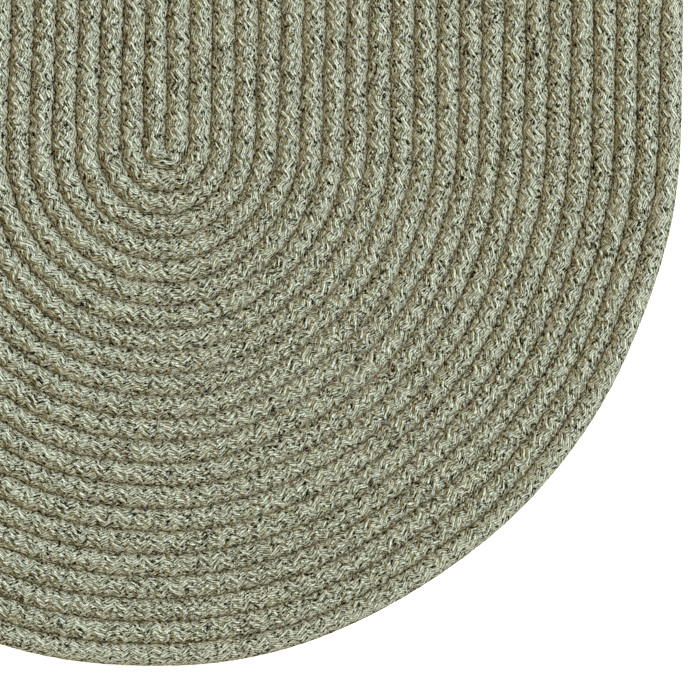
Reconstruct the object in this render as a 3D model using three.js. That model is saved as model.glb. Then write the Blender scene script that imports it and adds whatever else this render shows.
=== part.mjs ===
// Oval braided rug, in millimetres with +Z up, lying flat on z = 0 with its long axis along Y.
// One tubular braid starts at the top of the middle, turns round the lower end of the spine and
// coils outwards, laced edge to edge. Each round shows as a rounded ridge between two grooves.
import * as THREE from 'three';
import { mergeVertices } from 'three/addons/utils/BufferGeometryUtils.js';

// Driving dimensions
const RUG_WIDTH = 914;
const RUG_LENGTH = 1524;
const THICKNESS = 11;
const ROUNDS = 23; // braids side by side from the middle to the edge
const GROOVE_DEPTH = 3.4; // top face, from a braid's crest to the lacing
const SOLE_GROOVE_DEPTH = 2.2; // underside, which is pressed flat by the rug's weight
const YARN_COLOUR = 0x8b8a78;

// How finely the curves are cut
const CHORD_SAG = 1.2; // most that a chord of an end's arc strays from the arc
const LEAST_ARC_STEPS = 6;
const SOLE_STEP_SHARE = 0.6; // the underside is cut coarser than the top, by this share
const RIM_STEPS = 24; // chords of the edge round one end
const TAIL_STEPS = 5; // of those, the ones over which the braid's last stretch tapers off
const SIDE_STEPS = 3; // lengths along a straight side

// Cross-section of the braid's top: across is the share of the braid's width, from its inner
// groove to its outer one, and drop the share of the groove's depth below the crest.
const TOP_PROFILE = [
  { across: 0, drop: 1 },
  { across: 0.2, drop: 0.3 },
  { across: 0.5, drop: 0 },
  { across: 0.8, drop: 0.3 },
];
// The same for its underside, with lift as the share of the underside groove's depth.
const SOLE_PROFILE = [
  { across: 0, lift: 1 },
  { across: 0.28, lift: 0 },
  { across: 0.72, lift: 0 },
];
// The outermost braid rounds over to its free side, at mid-height.
const RIM_ACROSS = 0.93;
const RIM_ROUNDING = 0.48; // share of the half thickness that is rounded off there

// How far the hand-laced coil strays from a true oval. A station goes once round the oval,
// clockwise from the middle of the right side, and each half side and each quarter of an end
// is one station. Reach scales the distance from the spine there.
const UNEVENNESS = [
  { station: 0, reach: 0.998 },
  { station: 0.95, reach: 1.002 },
  { station: 1.25, reach: 0.984 },
  { station: 1.55, reach: 0.984 },
  { station: 1.97, reach: 1.006 },
  { station: 2.2, reach: 1.016 },
  { station: 3, reach: 1.008 },
  { station: 3.6, reach: 0.994 },
  { station: 4.6, reach: 1.002 },
  { station: 5.4, reach: 0.99 },
  { station: 6.1, reach: 1.007 },
  { station: 6.7, reach: 0.991 },
  { station: 7.3, reach: 1.002 },
];
const STATIONS = 8;

const PITCH = RUG_WIDTH / 2 / ROUNDS;
const HALF_SPINE = RUG_LENGTH / 2 - ROUNDS * PITCH;
const MID_HEIGHT = THICKNESS / 2;
// The far end's arcs are centred half a braid off the spine, which shifts each round out by one.
const FAR_CENTRE_X = -PITCH / 2;
const FAR_CENTRE_Y = HALF_SPINE + PITCH / 2;

function stationOf(x, y) {
  if (Math.abs(y) <= HALF_SPINE) {
    return x >= 0 ? (STATIONS - y / HALF_SPINE) % STATIONS : 4 + y / HALF_SPINE;
  }
  if (y < 0) {
    return 1 + Math.atan2(-HALF_SPINE - y, x) / (Math.PI / 2);
  }
  return 5 + Math.atan2(y - HALF_SPINE, -x) / (Math.PI / 2);
}

function reachAt(station) {
  const first = UNEVENNESS[0];
  const stops = [...UNEVENNESS, { station: STATIONS + first.station, reach: first.reach }];
  const after = stops.findIndex((stop) => stop.station > station);
  const from = stops[after - 1];
  const to = stops[after];
  const share = (station - from.station) / (to.station - from.station);
  const eased = (1 - Math.cos(Math.PI * share)) / 2;
  return from.reach + (to.reach - from.reach) * eased;
}

// A point of the true oval, moved to where the uneven coil has it.
function laid(x, y, z) {
  const spineY = THREE.MathUtils.clamp(y, -HALF_SPINE, HALF_SPINE);
  const reach = reachAt(stationOf(x, y));
  return new THREE.Vector3(x * reach, spineY + (y - spineY) * reach, z);
}

function arcSteps(radius) {
  return Math.max(LEAST_ARC_STEPS, Math.ceil(Math.PI * Math.sqrt(radius / (8 * CHORD_SAG))));
}

function line(steps, pointAt) {
  return Array.from({ length: steps + 1 }, (_, i) => pointAt(i / steps));
}

// Lines that run along the braid, all clockwise. Offset counts braids out from the spine.
function rightLine({ offset, z }) {
  const length = FAR_CENTRE_Y + HALF_SPINE;
  return line(SIDE_STEPS, (t) => laid(offset * PITCH, FAR_CENTRE_Y - t * length, z));
}

function leftLine({ offset, z }) {
  const length = FAR_CENTRE_Y + HALF_SPINE;
  return line(SIDE_STEPS, (t) => laid(-offset * PITCH, -HALF_SPINE + t * length, z));
}

function nearLine({ offset, z, steps }) {
  const radius = offset * PITCH;
  return line(steps, (t) => {
    const angle = Math.PI * t;
    return laid(radius * Math.cos(angle), -HALF_SPINE - radius * Math.sin(angle), z);
  });
}

function farPoint(offset, t, z) {
  const radius = (offset - 0.5) * PITCH;
  const angle = Math.PI * t;
  const x = FAR_CENTRE_X - radius * Math.cos(angle);
  return laid(x, FAR_CENTRE_Y + radius * Math.sin(angle), z);
}

function farLine({ offset, z, steps }) {
  return line(steps, (t) => farPoint(offset, t, z));
}

// How wide the tail still is at a place along the far end: none before the tail's tip, and a
// full braid where it meets the right side.
function tailWidth(t) {
  const tip = 1 - TAIL_STEPS / RIM_STEPS;
  return THREE.MathUtils.clamp((t - tip) / (1 - tip), 0, 1);
}

// The groove inside the tail, which is the edge itself before the tail's tip.
function edgeOrGroove(grooveZ, t) {
  return farPoint(ROUNDS, t, THREE.MathUtils.lerp(MID_HEIGHT, grooveZ, tailWidth(t)));
}

function farRimLine(rim, grooveZ) {
  return line(RIM_STEPS, (t) => {
    return tailWidth(t) > 0 ? edgeOrGroove(grooveZ, t) : farPoint(rim.offset, t, rim.z);
  });
}

function tailLine({ offset, z }) {
  return line(RIM_STEPS, (t) => {
    const width = tailWidth(t);
    const height = THREE.MathUtils.lerp(MID_HEIGHT, z, width);
    return farPoint(ROUNDS + (offset - ROUNDS + 1) * width, t, height);
  });
}

// All lines of one face, from the spine to the last braid's outer shoulder, each with the
// number of chords that it has round an end.
function roundLevels(profile, heightOf, stepShare) {
  const levels = [];
  for (let round = 0; round < ROUNDS; round += 1) {
    const steps = Math.max(
      LEAST_ARC_STEPS,
      Math.round(arcSteps((round + 1) * PITCH) * stepShare),
    );
    for (const row of profile) {
      levels.push({ offset: round + row.across, z: heightOf(row), steps });
    }
  }
  return levels;
}

function addFace(faces, a, b, c) {
  if (!a.equals(b) && !b.equals(c) && !c.equals(a)) {
    faces.push(a, b, c);
  }
}

// Fills between two lines that run the same way, the inner one first, with faces looking up.
function addBand(faces, inner, outer) {
  let i = 0;
  let j = 0;
  while (i < inner.length - 1 || j < outer.length - 1) {
    const innerNext = (i + 1) / (inner.length - 1);
    const outerNext = (j + 1) / (outer.length - 1);
    if (innerNext <= outerNext) {
      addFace(faces, inner[i], inner[i + 1], outer[j]);
      i += 1;
    } else {
      addFace(faces, inner[i], outer[j + 1], outer[j]);
      j += 1;
    }
  }
}

function addBands(faces, lines) {
  for (let i = 0; i + 1 < lines.length; i += 1) {
    addBand(faces, lines[i], lines[i + 1]);
  }
}

// One face of the rug, seen with its faces looking up.
function rugFace(profile, heightOf, rimZ, stepShare) {
  const faces = [];
  const levels = roundLevels(profile, heightOf, stepShare);
  const rim = { offset: ROUNDS - 1 + RIM_ACROSS, z: rimZ, steps: RIM_STEPS };
  const edge = { offset: ROUNDS, z: MID_HEIGHT, steps: RIM_STEPS };
  const all = [...levels, rim, edge];
  addBands(faces, all.map(rightLine));
  addBands(faces, all.map(nearLine));
  addBands(faces, all.map(leftLine));

  // The far end starts with the braid's own rounded start, whose middle lies on its line of
  // centres. A profile with no line there is closed straight across.
  const farLevels = levels.filter((level) => level.offset >= 0.5);
  const startLine = farLine(farLevels[0]);
  addBand(faces, [startLine[0], startLine[startLine.length - 1]], startLine);
  addBands(faces, farLevels.map(farLine));

  // Outside them lie the edge and, at the right, the tail that tapers away along it.
  const grooveZ = heightOf(profile[0]);
  const tail = all.filter((level) => level.offset > ROUNDS - 1);
  const outerLines = [
    farLine(farLevels[farLevels.length - 1]),
    farRimLine(rim, grooveZ),
    line(RIM_STEPS, (t) => edgeOrGroove(grooveZ, t)),
    ...tail.map(tailLine),
  ];
  addBands(faces, outerLines);
  return faces;
}

function rugGeometry() {
  const rounding = MID_HEIGHT * RIM_ROUNDING;
  const top = rugFace(
    TOP_PROFILE,
    (row) => THICKNESS - row.drop * GROOVE_DEPTH,
    THICKNESS - rounding,
    1,
  );
  const sole = rugFace(
    SOLE_PROFILE,
    (row) => row.lift * SOLE_GROOVE_DEPTH,
    rounding,
    SOLE_STEP_SHARE,
  );
  const corners = [...top, ...sole.reverse()];

  // The uneven oval is set so that the middle of its box is the origin.
  const middle = new THREE.Box3().setFromPoints(corners).getCenter(new THREE.Vector3());
  const positions = corners.flatMap((p) => [p.x - middle.x, p.y - middle.y, p.z]);
  const loose = new THREE.BufferGeometry();
  loose.setAttribute('position', new THREE.Float32BufferAttribute(positions, 3));
  const closed = mergeVertices(loose, 0.001);
  closed.computeVertexNormals();
  return closed;
}

const yarn = new THREE.MeshStandardMaterial({
  color: YARN_COLOUR,
  roughness: 1,
  metalness: 0,
  flatShading: true,
});
const rug = new THREE.Mesh(rugGeometry(), yarn);
rug.name = 'braided_rug';

const object = new THREE.Group();
object.add(rug);

export default object;
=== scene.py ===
# Oval braided rug, in metres with +Z up, lying flat on z = 0 with its long axis along Y.
# One tubular braid of 16 yarn bundles starts at the far end of the middle, turns round the near
# end of the spine and coils outwards, laced edge to edge. The crossing bundles are modelled in
# relief, and the plies of each bundle are drawn by the material.
import math

import bmesh
import bpy
import numpy as np
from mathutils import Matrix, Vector


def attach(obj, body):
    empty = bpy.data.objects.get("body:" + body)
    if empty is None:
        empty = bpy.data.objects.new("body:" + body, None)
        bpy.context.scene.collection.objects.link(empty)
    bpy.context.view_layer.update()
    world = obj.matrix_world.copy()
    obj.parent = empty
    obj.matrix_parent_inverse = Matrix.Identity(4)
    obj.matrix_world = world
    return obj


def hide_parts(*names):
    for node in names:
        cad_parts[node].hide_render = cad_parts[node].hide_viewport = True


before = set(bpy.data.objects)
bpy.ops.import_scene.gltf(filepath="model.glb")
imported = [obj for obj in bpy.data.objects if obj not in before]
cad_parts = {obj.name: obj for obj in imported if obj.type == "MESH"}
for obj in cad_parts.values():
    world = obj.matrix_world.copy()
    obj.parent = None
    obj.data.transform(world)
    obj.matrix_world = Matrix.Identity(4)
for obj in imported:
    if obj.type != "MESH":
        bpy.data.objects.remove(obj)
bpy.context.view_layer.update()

# The coil, as in the CAD part
RUG_WIDTH = 0.914
RUG_LENGTH = 1.524
ROUNDS = 23
PITCH = RUG_WIDTH / 2 / ROUNDS
HALF_SPINE = RUG_LENGTH / 2 - ROUNDS * PITCH
FAR_CENTRE = (-PITCH / 2, HALF_SPINE + PITCH / 2)
SIDE_LENGTH = FAR_CENTRE[1] + HALF_SPINE
TAIL_ANGLE = math.radians(37.5)  # how much of the far end the tapered last stretch covers
STATIONS = 8
# How far the hand-laced coil strays from a true oval: the station, and the reach from the spine
UNEVENNESS = [
    (0, 0.998),
    (0.95, 1.002),
    (1.25, 0.984),
    (1.55, 0.984),
    (1.97, 1.006),
    (2.2, 1.016),
    (3, 1.008),
    (3.6, 0.994),
    (4.6, 1.002),
    (5.4, 0.99),
    (6.1, 1.007),
    (6.7, 0.991),
    (7.3, 1.002),
]
OUTLINE_STEP = 0.5  # degrees between the points on which the outline's middle is found

# The braid. Its crossings lie on a lattice: a cell is one crossing of two bundles.
BUNDLES_EACH_WAY = 8
CELLS_AROUND = 2 * BUNDLES_EACH_WAY
CELL_AROUND = PITCH / 6  # half a cell's diagonal round the braid, which is 53 mm round
CELL_ALONG = 0.00435  # half a cell's diagonal along the braid, so it repeats each 17.4 mm
RINGS_PER_REPEAT = 8
RING_STEP = CELL_ALONG / 2
SIDES = 16  # vertices round the braid
BRAID_HEIGHT = 0.0104
GROOVE_HEIGHT = 0.0073  # where two neighbours meet in the groove
SIDE_HEIGHT = 0.0034  # where the side that is pressed against a neighbour turns into the sole
CROWN = 1.2  # the crest's roundness: 1 is a ridge of two flat sides, 2 is an arch
SOLE_FLATNESS = 3.2  # 2 is a round sole, and a higher one is flatter
LACING_GAP = 0.00004  # at each side, so that neighbouring rows don't touch
WAVE_HEIGHT = 0.0014  # how far a bundle's middle line rises and dives
BUNDLE_HEIGHT = 0.0017  # half a bundle's thickness
UNEVEN = 0.00035  # how far each spot on a bundle strays at random
UNEVEN_LIMIT = 2  # it strays by at most this many times that
UNEVEN_SEED = 3
PRESS_POWER = 4  # relief fades out only close to the neighbour that the braid is pressed against
SECTION_STEPS = 400
SLOPE_REACH = 0.004  # share of the way round over which the section's slope is taken
SEAM_REACH = 0.000001  # how far apart two vertices on the seam may lie and be joined
START_ROUNDING = 0.009  # length over which the braid's start is rounded off
BLUNT = 0.02  # how blunt the start and the tail's tip stay, so that no face vanishes
RIM_SMOOTHING = 0.8  # how much evener the rug's edge is than the rows inside it
EDGE_EASE = 0.1  # length of braid over which it gets so, from where the edge starts
# How the rows stray from their lines: wavelength, reach and how many waves are laid together.
# Each of those waves has a length of its own, between two shares of the wavelength.
WANDER_WAVES = [(0.008, 0.0006, 10), (0.015, 0.0007, 8), (0.035, 0.0005, 5), (0.13, 0.0009, 5)]
WAVE_SHARES = (0.75, 1.35)
WANDER_SEED = 7
BRAID_PIECES = 5
BAKE_MARGIN = 0.02  # of a strip's width, to each side, in the map to bake through

# The yarn, as the material draws it. The lattice is marked out in bundle widths, so each real
# size is divided by that. Wool fibres are 0.03 mm thick, which is too fine to show, so their
# streaks are drawn as tufts as wide as a ply, with two finer sizes within.
BUNDLE_WIDTH = 0.0053
PLY_WIDTH = 0.0023
TUFT_LENGTH = 0.0045
PATCH_SIZE = 0.025
PLY_SLANT = 0.45  # plies crossed per bundle width that the bundle runs
TWIST = 0.3  # how much more the plies of one way are slanted than those of the other, halved
GAP_WIDTH = 0.25  # in plies, to each side
GAP_LIGHT = 0.07  # how much of the fibre's colour still shows in a gap's painted shade
STREAK_TONE = 9.5  # how sharply the streaks part into pale and dark
DARK_SHARE = 0.435  # the noise's level for the middle tone: a higher one leaves more dark
PATCH_TONE = 0.45  # how far the tone strays from patch to patch
OWN_STREAKS = 100  # how far apart in the noise the bundles lie, so each has its own streaks
GROOVE_PLACE = 0.0129  # round the braid, from the middle of its sole to its pressed side
GROOVE_REACH = 0.0086  # how far from there the groove's painted brown shade still shows
# Painted shade: the brown that darkens the fibres down in the grooves
GROOVE_SHADE_TINT = "#b5a585"
# Nearness to a crossing's corner, which is up to 0.25, chance and nearness to the groove are
# added up, the last two by these weights. A hole opens as the sum rises from one level to the
# other, and is painted shade in the crevice colour.
HOLE_CHANCE = 0.25
HOLE_GROOVE = 0.07
HOLE_FROM = 0.365
HOLE_TO = 0.415
# Painted shade: the near-black colour of the holes at the crossings and the gaps beside the plies
CREVICE_SHADE = "#181105"
HEATHER = [(0.0, "#1c1306"), (0.36, "#6c6449"), (0.62, "#abac94"), (1.0, "#ebeedb")]

# The studio: a wide floor, and a low round wall far off that lies behind the rug in views from
# the side
STUDIO_REACH = 30
WALL_HEIGHT = 4.0
WALL_SIDES = 96

# The camera looks straight down, with its upper edge turned 1.3 degrees from the long axis.
# The picture's middle is placed from the hairpin turn where the braid's coil begins.
VIEW_WIDTH = 0.621
VIEW_MIDDLE = (0.1681, -0.1754)
VIEW_LEVEL = 0.009  # height of the rug's top, on average, where the view has that width
CAMERA_HEIGHT = 2.6
SENSOR_WIDTH = 36  # mm
LEAN = math.radians(1.3)


def eased_between(stops, at):
    """Values at some places, eased between stops that each have a place and a value."""
    places = np.array([place for place, _ in stops])
    values = np.array([value for _, value in stops])
    after = np.searchsorted(places, at, side="right").clip(1, len(places) - 1)
    share = (at - places[after - 1]) / (places[after] - places[after - 1])
    eased = (1 - np.cos(np.pi * share)) / 2
    return values[after - 1] + (values[after] - values[after - 1]) * eased


def station_of(x, y):
    """Once round the oval, clockwise from the middle of the right side, in 8 stations."""
    beside = np.where(x >= 0, (STATIONS - y / HALF_SPINE) % STATIONS, 4 + y / HALF_SPINE)
    near = 1 + np.arctan2(-HALF_SPINE - y, x) / (np.pi / 2)
    far = 5 + np.arctan2(y - HALF_SPINE, -x) / (np.pi / 2)
    return np.where(np.abs(y) <= HALF_SPINE, beside, np.where(y < 0, near, far))


def uneven_oval(x, y):
    """Points of the true oval, moved to where the uneven coil has them."""
    stops = UNEVENNESS + [(STATIONS + UNEVENNESS[0][0], UNEVENNESS[0][1])]
    reach = eased_between(stops, station_of(x, y))
    spine_y = np.clip(y, -HALF_SPINE, HALF_SPINE)
    return x * reach, spine_y + (y - spine_y) * reach


def wandering(x, y):
    """Hand lacing leaves no row quite straight: each is pushed a little off its line."""
    chance = np.random.default_rng(WANDER_SEED)
    push = np.zeros((2, len(x)))
    for length, reach, count in WANDER_WAVES:
        for _ in range(count):
            heading, phase, way = chance.uniform(0, 2 * np.pi, 3)
            stretch = 2 * np.pi / (length * chance.uniform(*WAVE_SHARES))
            wave = np.sin(stretch * (x * np.cos(heading) + y * np.sin(heading)) + phase)
            push += reach / math.sqrt(count) * wave * np.array([[np.cos(way)], [np.sin(way)]])
    return push


def outline_middle():
    """Middle of the uneven oval's box, which is where the rug has its origin."""
    angle = np.radians(np.arange(0, 360, OUTLINE_STEP))
    side_y = np.where(np.sin(angle) >= 0, HALF_SPINE, -HALF_SPINE)
    radius = ROUNDS * PITCH
    x, y = uneven_oval(radius * np.cos(angle), side_y + radius * np.sin(angle))
    return (x.max() + x.min()) / 2, (y.max() + y.min()) / 2


def coil_legs():
    """Straight and curved legs of the braid's middle line, from its start to its tail's tip."""
    legs = []
    for turn in range(ROUNDS):
        middle = (turn + 0.5) * PITCH
        legs.append({"length": SIDE_LENGTH, "kind": "left", "radius": middle})
        legs.append({"length": math.pi * middle, "kind": "near", "radius": middle})
        legs.append({"length": SIDE_LENGTH, "kind": "right", "radius": middle})
        if turn < ROUNDS - 1:
            outer = middle + PITCH / 2
            legs.append({"length": math.pi * outer, "kind": "far", "radius": outer})
    last = ROUNDS * PITCH
    legs.append({"length": TAIL_ANGLE * last, "kind": "far", "radius": last})
    return legs


LEGS = coil_legs()
LEG_ENDS = np.cumsum([leg["length"] for leg in LEGS])
BRAID_LENGTH = LEG_ENDS[-1]
# The rug's edge is the last turn, and the far end before it from the tail's tip on.
EDGE_START = LEG_ENDS[-5] - (math.pi - TAIL_ANGLE) * ROUNDS * PITCH


def on_middle_line(distance):
    """Place and outward direction on the braid's middle line, before the oval is made uneven."""
    place = np.zeros((len(distance), 2))
    outward = np.zeros((len(distance), 2))
    leg_of = np.searchsorted(LEG_ENDS, distance, side="left").clip(0, len(LEGS) - 1)
    for number in np.unique(leg_of):
        leg = LEGS[number]
        here = leg_of == number
        gone = distance[here] - (LEG_ENDS[number] - leg["length"])
        radius = leg["radius"]
        if leg["kind"] == "left":
            place[here] = np.stack([np.full_like(gone, -radius), FAR_CENTRE[1] - gone], 1)
            outward[here] = (-1, 0)
        elif leg["kind"] == "right":
            place[here] = np.stack([np.full_like(gone, radius), gone - HALF_SPINE], 1)
            outward[here] = (1, 0)
        else:
            at_near_end = leg["kind"] == "near"
            start = np.pi if at_near_end else 0
            centre = (0, -HALF_SPINE) if at_near_end else FAR_CENTRE
            angle = start + gone / radius
            outward[here] = np.stack([np.cos(angle), np.sin(angle)], 1)
            place[here] = centre + radius * outward[here]
    return place, outward


def braid_section():
    """Side offset and height at even steps round the braid, from the middle of its sole."""
    half_width = PITCH / 2
    across = np.linspace(0, half_width, SECTION_STEPS)
    crown = BRAID_HEIGHT - GROOVE_HEIGHT
    top = BRAID_HEIGHT - crown * (across / half_width) ** CROWN
    turn = np.linspace(0, np.pi / 2, SECTION_STEPS)
    sole_side = half_width * np.sin(turn) ** (2 / SOLE_FLATNESS)
    sole = SIDE_HEIGHT * (1 - np.cos(turn) ** (2 / SOLE_FLATNESS))
    side = np.concatenate([sole_side, across[::-1]])
    height = np.concatenate([sole, top[::-1]])
    side = np.concatenate([-side, side[::-1]])
    height = np.concatenate([height, height[::-1]])
    walked = np.concatenate([[0], np.cumsum(np.hypot(np.diff(side), np.diff(height)))])
    return walked / walked[-1], side, height


SECTION = braid_section()


def relief(along, around):
    """How far the crossing bundles stand out, with along and around in lattice cells."""
    wave = WAVE_HEIGHT * np.cos(np.pi / 2 * (along - 0.5))
    heights = []
    for across, rise in (((along + around) / 2, wave), ((along - around) / 2, -wave)):
        off_middle = 2 * np.abs(across - np.round(across))
        heights.append(rise + BUNDLE_HEIGHT * np.sqrt(1 - off_middle**2))
    return np.maximum(*heights) - BUNDLE_HEIGHT


def braid_surface(ring, step):
    """Points on the braid, for ring numbers along it and half steps round it."""
    distance = ring * RING_STEP
    place, outward = on_middle_line(distance)
    share = (step / (2 * SIDES)) % 1
    side = np.interp(share, SECTION[0], SECTION[1])
    height = np.interp(share, SECTION[0], SECTION[2])

    # Relief pushes along the section's own normal.
    ahead = (share + SLOPE_REACH) % 1
    behind = (share - SLOPE_REACH) % 1
    run = np.interp(ahead, SECTION[0], SECTION[1]) - np.interp(behind, SECTION[0], SECTION[1])
    climb = np.interp(ahead, SECTION[0], SECTION[2]) - np.interp(behind, SECTION[0], SECTION[2])
    size = np.hypot(run, climb)
    stray = UNEVEN * STRAY[ring.astype(int), (step % (2 * SIDES)).astype(int)]
    stand = relief(ring / 2, step / 2) + stray

    # The outer side of the last row is the rug's edge, which is evener.
    at_edge = np.clip((distance - EDGE_START) / EDGE_EASE, 0, 1)
    loose = 1 - RIM_SMOOTHING * at_edge * (side / PITCH + 0.5)
    stand = loose * stand
    pressed = (np.abs(side) / (PITCH / 2)) ** PRESS_POWER
    above_side = np.clip((height - SIDE_HEIGHT) / (GROOVE_HEIGHT - SIDE_HEIGHT), 0, 1)
    side = side + stand * (1 - pressed) * climb / size
    height = height - stand * (1 - pressed) * run / size + stand * pressed * above_side

    # The rounded start, and the tail that tapers along the edge
    to_start = np.clip(1 - distance / START_ROUNDING, 0, 1)
    start = np.sqrt(1 - ((1 - BLUNT) * to_start) ** 2)
    tail_length = TAIL_ANGLE * ROUNDS * PITCH
    tail = np.clip((BRAID_LENGTH - distance) / tail_length, BLUNT, 1)
    side = np.clip(side, LACING_GAP - PITCH / 2, PITCH / 2 - LACING_GAP) * start
    side = (side + PITCH / 2) * tail - PITCH / 2
    middle = BRAID_HEIGHT / 2
    height = middle + (np.maximum(height, 0) - middle) * start * tail**0.5

    x, y = (place + outward * side[:, None]).T
    push = loose * wandering(x, y)
    x, y = uneven_oval(x + push[0], y + push[1])
    return np.stack([x - COIL_MIDDLE[0], y - COIL_MIDDLE[1], height], 1)


COIL_MIDDLE = outline_middle()
RINGS = int(BRAID_LENGTH / RING_STEP)
REPEATS = RINGS // RINGS_PER_REPEAT
STRAY = np.random.default_rng(UNEVEN_SEED).normal(size=(RINGS + 1, 2 * SIDES))
STRAY = STRAY.clip(-UNEVEN_LIMIT, UNEVEN_LIMIT)
piece_repeats = [REPEATS * n // BRAID_PIECES for n in range(BRAID_PIECES + 1)]


def unrolled_braid(name, rings):
    """A stretch of the braid's skin, cut open and laid out flat, with the ring and the half step
    round the braid of each vertex. Rings are shifted by half a step in turn, so that each face
    is cut in two along the bundles."""
    bm = bmesh.new()
    bmesh.ops.create_grid(bm, x_segments=rings, y_segments=SIDES, size=1)
    mesh = bpy.data.meshes.new(name)
    bm.to_mesh(mesh)
    bm.free()
    square = np.empty(3 * len(mesh.vertices))
    mesh.vertices.foreach_get("co", square)
    square = square.reshape(-1, 3)
    ring = np.rint((square[:, 0] + 1) / 2 * rings)
    side = np.rint((square[:, 1] + 1) / 2 * SIDES)
    step = 2 * side + ring % 2
    flat = np.stack([ring * RING_STEP, step * CELL_AROUND / 2, np.zeros_like(ring)], 1)
    mesh.vertices.foreach_set("co", flat.ravel())

    bm = bmesh.new()
    bm.from_mesh(mesh)
    bmesh.ops.triangulate(bm, faces=bm.faces, quad_method="SHORT_EDGE")
    bm.to_mesh(mesh)
    bm.free()
    return mesh, ring, step


def add_maps(mesh, rings, ring, step):
    """The lattice map, which counts the bundles of each way, and a map to bake through, where
    the stretch is cut into strips that lie side by side in a square."""
    corner = np.empty(len(mesh.loops), dtype=np.int32)
    mesh.loops.foreach_get("vertex_index", corner)
    ring = ring[corner]
    step = step[corner]
    lattice = np.stack([(ring + step) / 4, (ring - step) / 4], 1)
    mesh.uv_layers.new(name="lattice").data.foreach_set("uv", lattice.ravel())

    strips = round(math.sqrt(rings * RING_STEP / (CELLS_AROUND * CELL_AROUND)))
    strip_rings = math.ceil(rings / strips)
    # All three corners of a face go into one strip.
    strip = ring.reshape(-1, 3).min(1).repeat(3) // strip_rings
    over = BAKE_MARGIN + (1 - 2 * BAKE_MARGIN) * step / (2 * SIDES + 1)
    up = ring - strip * strip_rings
    laid_out = np.stack([(strip + over) / strips, (up + 0.5) / (strip_rings + 1)], 1)
    mesh.uv_layers.new(name="OFBake").data.foreach_set("uv", laid_out.ravel())


def close_tube(mesh, on_seam):
    """Joins the two long edges, caps both ends and turns all faces outwards."""
    bm = bmesh.new()
    bm.from_mesh(mesh)
    bm.verts.ensure_lookup_table()
    seam = [bm.verts[n] for n in np.flatnonzero(on_seam)]
    bmesh.ops.remove_doubles(bm, verts=seam, dist=SEAM_REACH)
    open_edges = [edge for edge in bm.edges if edge.is_boundary]
    caps = bmesh.ops.holes_fill(bm, edges=open_edges, sides=0)["faces"]
    bmesh.ops.triangulate(bm, faces=caps)
    bmesh.ops.recalc_face_normals(bm, faces=bm.faces)
    bm.to_mesh(mesh)
    bm.free()


def placed(name, data):
    """A new object in the scene."""
    thing = bpy.data.objects.new(name, data)
    bpy.context.scene.collection.objects.link(thing)
    return thing


def braid_piece(name, first_ring, last_ring):
    """One closed stretch of the braid, where it lies in the coil."""
    rings = last_ring - first_ring
    mesh, ring, step = unrolled_braid(name, rings)
    add_maps(mesh, rings, ring, step)
    points = braid_surface(ring + first_ring, step)
    mesh.vertices.foreach_set("co", points.ravel())
    close_tube(mesh, on_seam=step // 2 % SIDES == 0)
    return placed(name, mesh)


MATH = "ShaderNodeMath"
VECTOR_MATH = "ShaderNodeVectorMath"
SEPARATE = "ShaderNodeSeparateXYZ"
COMBINE = "ShaderNodeCombineXYZ"


def linear(hex_colour):
    """An sRGB hex colour as linear RGBA."""
    channels = [int(hex_colour[n : n + 2], 16) / 255 for n in (1, 3, 5)]
    return [c / 12.92 if c <= 0.04045 else ((c + 0.055) / 1.055) ** 2.4 for c in channels] + [1]


def add(tree, kind, inputs=None, **settings):
    """Adds a node with its settings. Inputs give each socket, by its name or its number, a value,
    a socket or a node. Numbers serve where sockets share a name: a Mix node's two vectors are 4
    and 5 and its result 1, and its two colours are 6 and 7 and their result 2."""
    node = tree.nodes.new(kind)
    for name, value in settings.items():
        setattr(node, name, value)
    for socket, value in (inputs or {}).items():
        if isinstance(value, bpy.types.Node):
            value = value.outputs[0]
        if isinstance(value, bpy.types.NodeSocket):
            tree.links.new(value, node.inputs[socket])
        else:
            node.inputs[socket].default_value = value
    return node


def top_bundle(tree, spot, across_both):
    """Whether a spot is on a bundle that X counts, as 1, or on one that Y counts, as 0. With it,
    the spot's place on that bundle: how far it is from the bundle's middle and along it, in
    bundle widths, and the bundle's number."""
    numbers = add(tree, VECTOR_MATH, {0: spot, 1: across_both}, operation="SUBTRACT")
    squares = add(tree, VECTOR_MATH, {0: across_both, 1: across_both}, operation="MULTIPLY")
    spot_xy = add(tree, SEPARATE, {0: spot}).outputs
    across_xy = add(tree, SEPARATE, {0: across_both}).outputs
    number_xy = add(tree, SEPARATE, {0: numbers}).outputs
    square_xy = add(tree, SEPARATE, {0: squares}).outputs

    # The higher of the two, as in relief(), but with each bundle's top as a parabola
    along = add(tree, MATH, {0: spot_xy[0], 1: spot_xy[1]}, operation="ADD")
    turn = {0: along, 1: math.pi / 2, 2: -math.pi / 4}
    turn = add(tree, MATH, turn, operation="MULTIPLY_ADD")
    wave = add(tree, MATH, {0: turn}, operation="COSINE")
    rise = WAVE_HEIGHT / BUNDLE_HEIGHT / 2
    lead = add(tree, MATH, {0: wave, 1: rise}, operation="MULTIPLY")
    lag = add(tree, MATH, {0: square_xy[0], 1: square_xy[1]}, operation="SUBTRACT")
    first_on_top = add(tree, MATH, {0: lead, 1: lag}, operation="GREATER_THAN")

    first = add(tree, COMBINE, {0: across_xy[0], 1: spot_xy[1], 2: number_xy[0]})
    second = add(tree, COMBINE, {0: across_xy[1], 1: spot_xy[0], 2: number_xy[1]})
    on_top = {"Factor": first_on_top, 4: second, 5: first}
    top = add(tree, "ShaderNodeMix", on_top, data_type="VECTOR").outputs[1]
    return [first_on_top, *add(tree, SEPARATE, {0: top}).outputs]


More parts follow.
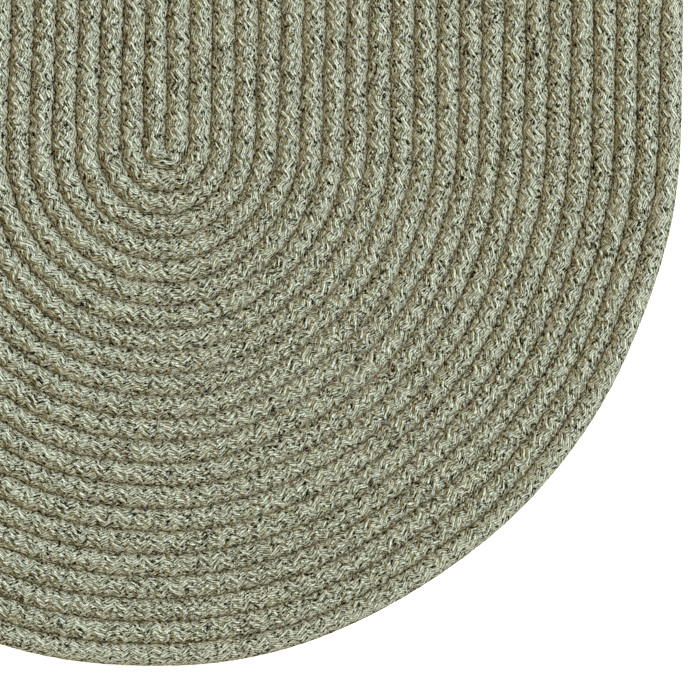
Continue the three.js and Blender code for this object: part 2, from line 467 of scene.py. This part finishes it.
def heathered_fibres(tree, spot, streak_place):
    """Short streaks of pale and dark fibre along the plies, with paler and darker patches."""
    stretch = (BUNDLE_WIDTH / TUFT_LENGTH, 1, OWN_STREAKS)
    stretched = add(tree, VECTOR_MATH, {0: streak_place, 1: stretch}, operation="MULTIPLY")
    look = {"Vector": stretched, "Scale": 1.0, "Detail": 2.0, "Roughness": 0.9}
    streaks = add(tree, "ShaderNodeTexNoise", look)
    look = {"Vector": spot, "Scale": BUNDLE_WIDTH / PATCH_SIZE, "Detail": 1.0}
    patches = add(tree, "ShaderNodeTexNoise", look)
    level = 0.5 - PATCH_TONE / 2 - STREAK_TONE * DARK_SHARE
    tone = add(tree, MATH, {0: patches, 1: PATCH_TONE, 2: level}, operation="MULTIPLY_ADD")
    tone = add(tree, MATH, {0: streaks, 1: STREAK_TONE, 2: tone}, operation="MULTIPLY_ADD")
    heather = add(tree, "ShaderNodeValToRGB", {0: tone})
    ramp = heather.color_ramp
    while len(ramp.elements) < len(HEATHER):
        ramp.elements.new(0.5)
    for element, (position, colour) in zip(ramp.elements, HEATHER):
        element.position = position
        element.color = linear(colour)
    return heather


def nearness_to_groove(tree, spot):
    """1 down where a row is pressed against the next, and 0 on its crest and its sole."""
    spot_xy = add(tree, SEPARATE, {0: spot}).outputs
    around = add(tree, MATH, {0: spot_xy[0], 1: spot_xy[1]}, operation="SUBTRACT")
    from_sole = add(tree, MATH, {0: around, 1: CELLS_AROUND / 2}, operation="PINGPONG")
    apart = add(tree, MATH, {0: from_sole, 1: GROOVE_PLACE / CELL_AROUND}, operation="SUBTRACT")
    apart = add(tree, MATH, {0: apart}, operation="ABSOLUTE")
    groove = {0: apart, 2: GROOVE_REACH / CELL_AROUND, 3: 1.0, 4: 0.0}
    return add(tree, "ShaderNodeMapRange", groove)


def outside_shaded_holes(tree, spot, across_both, groove):
    """0 in the holes at some corners of the crossings, most of them beside the groove, which are
    painted shade, and 1 all round them."""
    across_xy = add(tree, SEPARATE, {0: across_both}).outputs
    corner = add(tree, MATH, {0: across_xy[0], 1: across_xy[1]}, operation="MULTIPLY")
    corner = add(tree, MATH, {0: corner}, operation="ABSOLUTE")
    corner_number = add(tree, VECTOR_MATH, {0: spot}, operation="FLOOR")
    look = {"Vector": corner_number}
    chance = add(tree, "ShaderNodeTexWhiteNoise", look, noise_dimensions="2D")
    hole = {0: chance, 1: HOLE_CHANCE, 2: corner}
    hole = add(tree, MATH, hole, operation="MULTIPLY_ADD")
    hole = {0: groove, 1: HOLE_GROOVE, 2: hole}
    hole = add(tree, MATH, hole, operation="MULTIPLY_ADD")
    outside_hole_shade = {0: hole, 1: HOLE_FROM, 2: HOLE_TO, 3: 1.0, 4: 0.0}
    return add(tree, "ShaderNodeMapRange", outside_hole_shade)


def wool_blend_yarn():
    """Heathered wool blend, spun into soft plies that lie side by side in each bundle. It is
    matt all over and pale with dark flecks, with painted shade in the gaps beside the plies, in
    holes at the crossings and, browner, down in the grooves."""
    material = bpy.data.materials.new("heathered_wool_blend_yarn")
    material.use_nodes = True
    tree = material.node_tree
    tree.nodes.clear()

    # Place on the lattice: X counts the bundles that lean one way and Y those of the other.
    # Across is how far a spot is from the middle of its bundle, in bundle widths.
    spot = add(tree, "ShaderNodeUVMap", uv_map="lattice")
    half = (0.5, 0.5, 0.5)
    less = (-0.5, -0.5, -0.5)
    across_both = add(tree, VECTOR_MATH, {0: spot, 1: half, 2: less}, operation="WRAP")
    first_on_top, across, run, number = top_bundle(tree, spot, across_both)

    # Plies, each with painted shade in the gap beside it. They are twisted, so they cross their
    # bundle.
    own_place = add(tree, COMBINE, {0: number, 1: first_on_top})
    own = add(tree, "ShaderNodeTexWhiteNoise", {"Vector": own_place}, noise_dimensions="2D")
    slant = {0: first_on_top, 1: 2 * TWIST, 2: -PLY_SLANT - TWIST}
    slant = add(tree, MATH, slant, operation="MULTIPLY_ADD")
    start = add(tree, MATH, {0: run, 1: slant, 2: own}, operation="MULTIPLY_ADD")
    ply = {0: across, 1: BUNDLE_WIDTH / PLY_WIDTH, 2: start}
    ply = add(tree, MATH, ply, operation="MULTIPLY_ADD")
    from_gap = add(tree, MATH, {0: ply, 1: 0.5}, operation="PINGPONG")
    outside_gap_shade = add(tree, "ShaderNodeMapRange", {0: from_gap, 1: 0.0, 2: GAP_WIDTH, 3: GAP_LIGHT})

    # Painted shade: the fibres' colour is browned and darkened down in the grooves, where the rows
    # shade each other.
    streak_place = add(tree, COMBINE, {0: run, 1: ply, 2: own})
    heather = heathered_fibres(tree, spot, streak_place)
    groove = nearness_to_groove(tree, spot)
    groove_shaded = {0: groove, 6: heather, 7: linear(GROOVE_SHADE_TINT)}
    fibres = add(tree, "ShaderNodeMix", groove_shaded, data_type="RGBA", blend_type="MULTIPLY")

    # Painted shade: the holes at the crossings and the gaps beside the plies take the dark crevice
    # colour.
    outside_hole_shade = outside_shaded_holes(tree, spot, across_both, groove)
    light = add(tree, MATH, {0: outside_gap_shade, 1: outside_hole_shade}, operation="MULTIPLY")
    shaded = {0: light, 6: linear(CREVICE_SHADE), 7: fibres.outputs[2]}
    colour = add(tree, "ShaderNodeMix", shaded, data_type="RGBA").outputs[2]

    looks = {"Base Color": colour, "Roughness": 0.85, "Specular IOR Level": 0.1}
    looks |= {"Sheen Weight": 0.03, "Sheen Roughness": 0.6}
    surface = add(tree, "ShaderNodeBsdfPrincipled", looks)
    add(tree, "ShaderNodeOutputMaterial", {"Surface": surface})
    return material


yarn = wool_blend_yarn()
for number in range(BRAID_PIECES):
    first = piece_repeats[number] * RINGS_PER_REPEAT
    last = piece_repeats[number + 1] * RINGS_PER_REPEAT
    piece = braid_piece(f"braid_{number + 1}", first, last)
    piece.data.materials.append(yarn)
    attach(piece, "root")
    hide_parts("braided_rug")


def pale_paint():
    """Matt white paint, which glows a little so that no corner of the studio is dull."""
    material = bpy.data.materials.new("matt_white_paint")
    material.use_nodes = True
    surface = material.node_tree.nodes["Principled BSDF"]
    surface.inputs["Base Color"].default_value = linear("#f4f4f2")
    surface.inputs["Roughness"].default_value = 0.9
    surface.inputs["Emission Color"].default_value = linear("#ffffff")
    surface.inputs["Emission Strength"].default_value = 0.9
    return material


def studio_piece(name, bm, material):
    mesh = bpy.data.meshes.new(name)
    bm.to_mesh(mesh)
    bm.free()
    mesh.materials.append(material)
    placed(name, mesh)


paint = pale_paint()
floor = bmesh.new()
bmesh.ops.create_grid(floor, x_segments=1, y_segments=1, size=STUDIO_REACH)
studio_piece("floor", floor, paint)
wall = bmesh.new()
wall_size = {"radius1": STUDIO_REACH, "radius2": STUDIO_REACH, "depth": WALL_HEIGHT}
bmesh.ops.create_cone(wall, cap_ends=False, segments=WALL_SIDES, **wall_size)
bmesh.ops.translate(wall, verts=wall.verts, vec=(0, 0, WALL_HEIGHT / 2))
bmesh.ops.reverse_faces(wall, faces=wall.faces)
studio_piece("wall", wall, paint)


def photo_camera():
    hairpin = (-COIL_MIDDLE[0], -HALF_SPINE - COIL_MIDDLE[1])
    lens = bpy.data.cameras.new("photo_camera")
    lens.sensor_width = SENSOR_WIDTH
    lens.lens = SENSOR_WIDTH * (CAMERA_HEIGHT - VIEW_LEVEL) / VIEW_WIDTH
    camera = placed("photo_camera", lens)
    camera.location = (hairpin[0] + VIEW_MIDDLE[0], hairpin[1] + VIEW_MIDDLE[1], CAMERA_HEIGHT)
    camera.rotation_euler = (0, 0, LEAN)
    return camera


bpy.context.scene.camera = photo_camera()


def broad_light(name, energy, spread, colour, direction):
    light = bpy.data.lights.new(name, "SUN")
    light.energy = energy
    light.angle = math.radians(spread)
    light.color = colour
    lamp = placed(name, light)
    lamp.rotation_euler = Vector(direction).to_track_quat("Z", "Y").to_euler()


# Low cool key light from the right, a warm fill from the left and a faint warm one all round
cool = (0.87, 1.0, 1.06)
warm = (1.0, 0.75, 0.30)
broad_light("key_light", energy=3.35, spread=14, colour=cool, direction=(0.91, 0.40, 0.56))
broad_light("fill_light", energy=0.8, spread=60, colour=warm, direction=(-0.94, -0.34, 0.8))
world = bpy.data.worlds.new("studio")
world.use_nodes = True
world.node_tree.nodes["Background"].inputs["Color"].default_value = (1.0, 0.8, 0.5, 1)
world.node_tree.nodes["Background"].inputs["Strength"].default_value = 0.08
bpy.context.scene.world = world
bpy.context.scene.view_settings.view_transform = "Standard"
